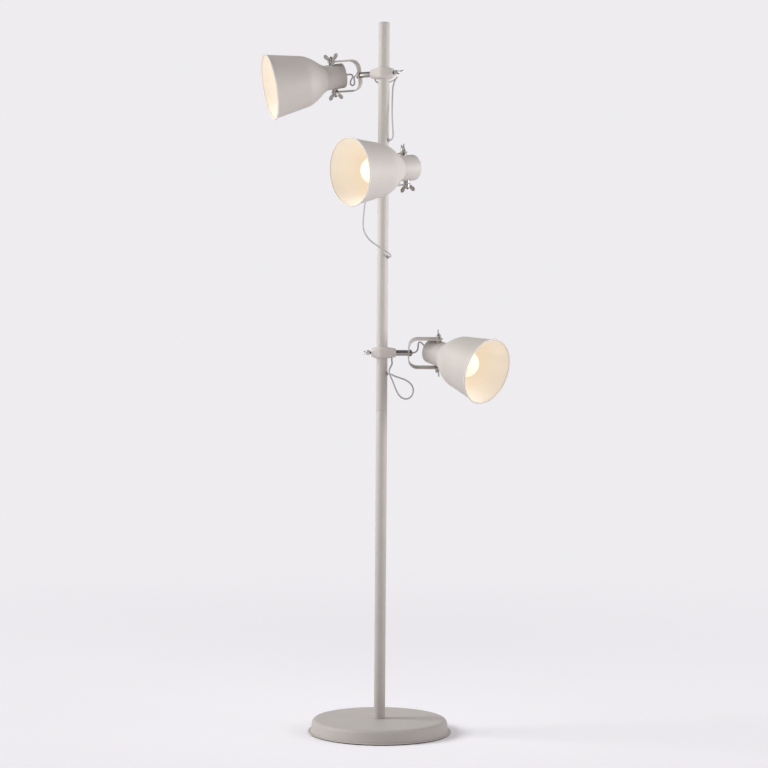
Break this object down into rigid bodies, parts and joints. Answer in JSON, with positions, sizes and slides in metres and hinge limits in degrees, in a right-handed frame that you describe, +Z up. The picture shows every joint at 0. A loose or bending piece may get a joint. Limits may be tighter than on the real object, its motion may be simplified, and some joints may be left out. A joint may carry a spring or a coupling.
{
  "type": "tree floor lamp",
  "caption": "Tree floor lamp with a weighted round base, one slim pole and clamped bell-shaped shades that slide, swivel, roll and tilt.",
  "frame": {"origin": "on the floor, at the pole's axis", "axes": "+Z up along the pole, -Y towards the viewer of the picture, +X to the viewer's right"},
  "size_m": [0.5643, 0.425, 1.591],
  "materials": {
    "powder_coat": "satin powder coat, warm greige",
    "nickel": "nickel plated, polished",
    "cast_weight": "as cast, black",
    "pad_rubber": "matt",
    "holder_plastic": "moulded, off-white",
    "grommet_plastic": "moulded, light grey",
    "lead_sheath": "smooth light grey sheath",
    "lit_glass": "opal glass, lit"
  },
  "bodies": {
    "stand": {"base_cover": "powder_coat", "base_pad": "pad_rubber", "base_weight": "cast_weight", "pole_foot": "powder_coat", "foot_nut": "nickel", "pole": "powder_coat", "pole_joint": "nickel", "pole_cap": "powder_coat", "pole_grommets": "grommet_plastic", "terminal_block": "holder_plastic", "cable_gland": "grommet_plastic", "inner_leads": "lead_sheath"},
    "top_carriage": {"top_pole_lead": "lead_sheath"},
    "top_clamp_unit": {"top_clamp": "powder_coat", "top_stem": "nickel", "top_stem_nut": "nickel", "top_clamp_lead": "lead_sheath"},
    "top_screw": {"top_clamp_screw": "nickel"},
    "top_yoke": {"top_bracket": "powder_coat", "top_head_lead": "lead_sheath"},
    "top_spot": {"top_cup": "powder_coat", "top_shade": "powder_coat", "top_lamp_holder": "holder_plastic", "top_bulb": "lit_glass", "top_cord_bush": "grommet_plastic", "top_pivot_studs": "nickel"},
    "top_upper_wing": {"top_upper_wing_nut": "nickel"},
    "top_lower_wing": {"top_lower_wing_nut": "nickel"},
    "middle_carriage": {"middle_pole_lead": "lead_sheath"},
    "middle_clamp_unit": {"middle_clamp": "powder_coat", "middle_stem": "nickel", "middle_stem_nut": "nickel", "middle_clamp_lead": "lead_sheath"},
    "middle_screw": {"middle_clamp_screw": "nickel"},
    "middle_yoke": {"middle_bracket": "powder_coat", "middle_head_lead": "lead_sheath"},
    "middle_spot": {"middle_cup": "powder_coat", "middle_shade": "powder_coat", "middle_lamp_holder": "holder_plastic", "middle_bulb": "lit_glass", "middle_cord_bush": "grommet_plastic", "middle_pivot_studs": "nickel"},
    "middle_upper_wing": {"middle_upper_wing_nut": "nickel"},
    "middle_lower_wing": {"middle_lower_wing_nut": "nickel"},
    "lower_carriage": {"lower_pole_lead": "lead_sheath"},
    "lower_clamp_unit": {"lower_clamp": "powder_coat", "lower_stem": "nickel", "lower_stem_nut": "nickel", "lower_clamp_lead": "lead_sheath"},
    "lower_screw": {"lower_clamp_screw": "nickel"},
    "lower_yoke": {"lower_bracket": "powder_coat", "lower_head_lead": "lead_sheath"},
    "lower_spot": {"lower_cup": "powder_coat", "lower_shade": "powder_coat", "lower_lamp_holder": "holder_plastic", "lower_bulb": "lit_glass", "lower_cord_bush": "grommet_plastic", "lower_pivot_studs": "nickel"},
    "lower_upper_wing": {"lower_upper_wing_nut": "nickel"},
    "lower_lower_wing": {"lower_lower_wing_nut": "nickel"}
  },
  "joints": [
    {"name": "top_height", "type": "slide", "parent": "stand", "child": "top_carriage", "axis": [0, 0, 1], "range_m": [-0.03, 0.03], "deforming": ["top_pole_lead"]},
    {"name": "top_swivel", "type": "hinge", "parent": "top_carriage", "child": "top_clamp_unit", "pos_m": [0, 0, 1.476], "axis": [0, 0, 1], "range_deg": [-60, 60], "deforming": ["top_clamp_lead"]},
    {"name": "top_screw_turn", "type": "hinge", "parent": "top_clamp_unit", "child": "top_screw", "pos_m": [0.0273, -0.01244, 1.476], "axis": [0.91, -0.4147, 0], "range_deg": [0, 180]},
    {"name": "top_roll", "type": "hinge", "parent": "top_clamp_unit", "child": "top_yoke", "pos_m": [-0.0546, 0.02488, 1.476], "axis": [-0.91, 0.4147, 0], "range_deg": [-57, 93]},
    {"name": "top_tilt", "type": "hinge", "parent": "top_yoke", "child": "top_spot", "pos_m": [-0.11466, 0.05225, 1.476], "axis": [-0.1281, -0.2812, 0.9511], "range_deg": [-129.5, 50.5], "deforming": ["top_head_lead"]},
    {"name": "top_upper_nut_turn", "type": "hinge", "parent": "top_spot", "child": "top_upper_wing", "pos_m": [-0.1194, 0.04185, 1.51119], "axis": [-0.1281, -0.2812, 0.9511], "range_deg": [0, 180]},
    {"name": "top_lower_nut_turn", "type": "hinge", "parent": "top_spot", "child": "top_lower_wing", "pos_m": [-0.10991, 0.06266, 1.44081], "axis": [0.1281, 0.2812, -0.9511], "range_deg": [0, 180]},
    {"name": "middle_height", "type": "slide", "parent": "stand", "child": "middle_carriage", "axis": [0, 0, 1], "range_m": [-0.03, 0.03], "deforming": ["middle_pole_lead"]},
    {"name": "middle_swivel", "type": "hinge", "parent": "middle_carriage", "child": "middle_clamp_unit", "pos_m": [0, 0, 1.2505], "axis": [0, 0, 1], "range_deg": [-60, 60], "deforming": ["middle_clamp_lead"]},
    {"name": "middle_screw_turn", "type": "hinge", "parent": "middle_clamp_unit", "child": "middle_screw", "pos_m": [-0.01138, 0.02776, 1.2505], "axis": [-0.3795, 0.9252, 0], "range_deg": [0, 180]},
    {"name": "middle_roll", "type": "hinge", "parent": "middle_clamp_unit", "child": "middle_yoke", "pos_m": [0.02277, -0.05551, 1.2505], "axis": [0.3795, -0.9252, 0], "range_deg": [-82.6, 67.4]},
    {"name": "middle_tilt", "type": "hinge", "parent": "middle_yoke", "child": "middle_spot", "pos_m": [0.04781, -0.11658, 1.2505], "axis": [-0.1224, -0.0502, 0.9912], "range_deg": [-14.2, 165.8], "deforming": ["middle_head_lead"]},
    {"name": "middle_upper_nut_turn", "type": "hinge", "parent": "middle_spot", "child": "middle_upper_wing", "pos_m": [0.04328, -0.11843, 1.28717], "axis": [-0.1224, -0.0502, 0.9912], "range_deg": [0, 180]},
    {"name": "middle_lower_nut_turn", "type": "hinge", "parent": "middle_spot", "child": "middle_lower_wing", "pos_m": [0.05234, -0.11472, 1.21382], "axis": [0.1224, 0.0502, -0.9912], "range_deg": [0, 180]},
    {"name": "lower_height", "type": "slide", "parent": "stand", "child": "lower_carriage", "axis": [0, 0, 1], "range_m": [-0.025, 0.03], "deforming": ["lower_pole_lead"]},
    {"name": "lower_swivel", "type": "hinge", "parent": "lower_carriage", "child": "lower_clamp_unit", "pos_m": [0, 0, 0.85], "axis": [0, 0, 1], "range_deg": [-60, 60], "deforming": ["lower_clamp_lead"]},
    {"name": "lower_screw_turn", "type": "hinge", "parent": "lower_clamp_unit", "child": "lower_screw", "pos_m": [-0.02997, -0.00131, 0.85], "axis": [-0.999, -0.0436, 0], "range_deg": [0, 180]},
    {"name": "lower_roll", "type": "hinge", "parent": "lower_clamp_unit", "child": "lower_yoke", "pos_m": [0.05994, 0.00262, 0.85], "axis": [0.999, 0.0436, 0], "range_deg": [-97, 53]},
    {"name": "lower_tilt", "type": "hinge", "parent": "lower_yoke", "child": "lower_spot", "pos_m": [0.12588, 0.0055, 0.85], "axis": [0.0163, -0.3743, 0.9272], "range_deg": [-42.5, 137.5], "deforming": ["lower_head_lead"]},
    {"name": "lower_upper_nut_turn", "type": "hinge", "parent": "lower_spot", "child": "lower_upper_wing", "pos_m": [0.12648, -0.00835, 0.88431], "axis": [0.0163, -0.3743, 0.9272], "range_deg": [0, 180]},
    {"name": "lower_lower_nut_turn", "type": "hinge", "parent": "lower_spot", "child": "lower_lower_wing", "pos_m": [0.12527, 0.01934, 0.81569], "axis": [-0.0163, 0.3743, -0.9272], "range_deg": [0, 180]}
  ]
}
